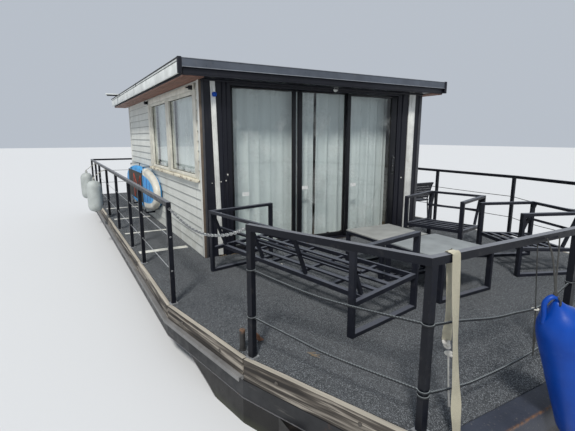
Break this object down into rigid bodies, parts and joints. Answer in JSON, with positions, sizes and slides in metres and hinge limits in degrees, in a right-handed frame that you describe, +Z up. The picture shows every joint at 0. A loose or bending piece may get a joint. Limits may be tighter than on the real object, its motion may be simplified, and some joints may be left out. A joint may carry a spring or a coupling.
{
  "type": "houseboat",
  "caption": "Flat-bottomed steel houseboat with guard rails, a hollow cabin behind a furnished fore deck, sliding and hinged doors and a steerable, tilting outboard motor.",
  "frame": {"origin": "on the centreline and the flat hull bottom, 5.15 m forward of the stern edge of the deck", "axes": "+X to the bow, +Y to port, +Z up"},
  "size_m": [11.2729, 5.306, 3.02],
  "materials": {
    "hull_black": "black bitumen paint, satin, stained",
    "fascia_grey": "dark grey paint, dusty",
    "ledge_grey": "worn light grey paint on steel angle",
    "weathered_wood": "grey weathered softwood with a beige top edge",
    "edge_paint": "blue-black paint with rusty rims",
    "rubber_mat": "granulated rubber, matt",
    "floor_board": "plain floor board",
    "rail_black": "anthracite paint, satin, rust at the welds",
    "chain_steel": "galvanised",
    "bollard_black": "black paint, rusty top",
    "siding": "painted horizontal siding, off-white",
    "front_black": "painted vertical panels, near black",
    "roof_dark": "dark brown-black fascia and soffit",
    "roof_grey": "anthracite sheet metal edge and roof",
    "window_white": "off-white frame",
    "door_black": "black door profile, satin",
    "curtain_cloth": "thin grey-white woven cloth",
    "furniture_black": "anthracite powder coat",
    "table_top": "beige-grey board on an anthracite frame",
    "board_blue": "blue and white inflated board",
    "fender_white": "white vinyl, slightly dirty",
    "fender_blue": "blue vinyl",
    "rope": "dark braided rope",
    "webbing": "beige woven webbing",
    "motor_grey": "dark grey cast aluminium, painted",
    "motor_cowl": "dark moulded cover, blank",
    "propeller": "cast, painted dark"
  },
  "bodies": {
    "houseboat": {"hull": "hull_black", "deck_frame": "fascia_grey", "ledge_starboard": "ledge_grey", "ledge_port": "ledge_grey", "fender_board_starboard": "weathered_wood", "fender_board_port": "weathered_wood", "bow_edge_plate": "edge_paint", "stern_edge_plate": "edge_paint", "deck_mats_fore": "rubber_mat", "deck_mats_starboard": "rubber_mat", "deck_mats_port": "rubber_mat", "deck_mats_aft": "rubber_mat", "cabin_floor": "floor_board", "rail_starboard": "rail_black", "rail_port": "rail_black", "rail_bow": "rail_black", "gate_chain": "chain_steel", "bollard_bow_starboard": "bollard_black", "bollard_bow_port": "bollard_black", "bollard_stern_starboard": "bollard_black", "bollard_stern_port": "bollard_black", "cabin_wall_starboard": "siding", "cabin_wall_port": "siding", "cabin_wall_front": "front_black", "cabin_wall_aft": "siding", "roof_frame": "roof_dark", "roof": "roof_grey", "window_starboard": "window_white", "window_port": "window_white", "door_frame": "front_black", "door_leaf_fixed_starboard": "door_black", "door_leaf_fixed_middle": "door_black", "curtain_starboard": "curtain_cloth", "curtain_port": "curtain_cloth", "sofa": "furniture_black", "armchair_aft": "furniture_black", "armchair_fore": "furniture_black", "table_small": "table_top", "table_large": "table_top", "garden_chair": "furniture_black", "paddle_board": "board_blue", "board_rack": "rail_black", "fender_aft": "fender_white", "fender_aft_rope": "rope", "fender_fore": "fender_white", "fender_fore_rope": "rope", "fender_blue": "fender_blue", "fender_blue_rope": "rope", "strap": "webbing", "motor_bracket": "rail_black", "motor_clamp": "motor_grey"},
    "front_door": {"door_leaf_sliding": "door_black"},
    "rear_door": {"aft_door": "door_black"},
    "motor_tilter": {"motor_swivel": "motor_grey"},
    "motor": {"motor_leg": "motor_grey", "motor_cowl": "motor_cowl"},
    "screw": {"propeller": "propeller"}
  },
  "joints": [
    {"name": "front_door_slide", "type": "slide", "parent": "houseboat", "child": "front_door", "axis": [0, -1, 0], "range_m": [0, 0.7]},
    {"name": "rear_door_hinge", "type": "hinge", "parent": "houseboat", "child": "rear_door", "pos_m": [-3.21, -0.4035, 1.78], "axis": [0, 0, 1], "range_deg": [0, 100]},
    {"name": "motor_tilt", "type": "hinge", "parent": "houseboat", "child": "motor_tilter", "pos_m": [-5.37, 0, 0.82], "axis": [0, 1, 0], "range_deg": [0, 65]},
    {"name": "motor_steer", "type": "hinge", "parent": "motor_tilter", "child": "motor", "pos_m": [-5.44, 0, 0.71], "axis": [0, 0, 1], "range_deg": [-35, 35]},
    {"name": "screw_spin", "type": "hinge", "parent": "motor", "child": "screw", "pos_m": [-5.752, 0, 0.15], "axis": [1, 0, 0], "continuous": true}
  ]
}
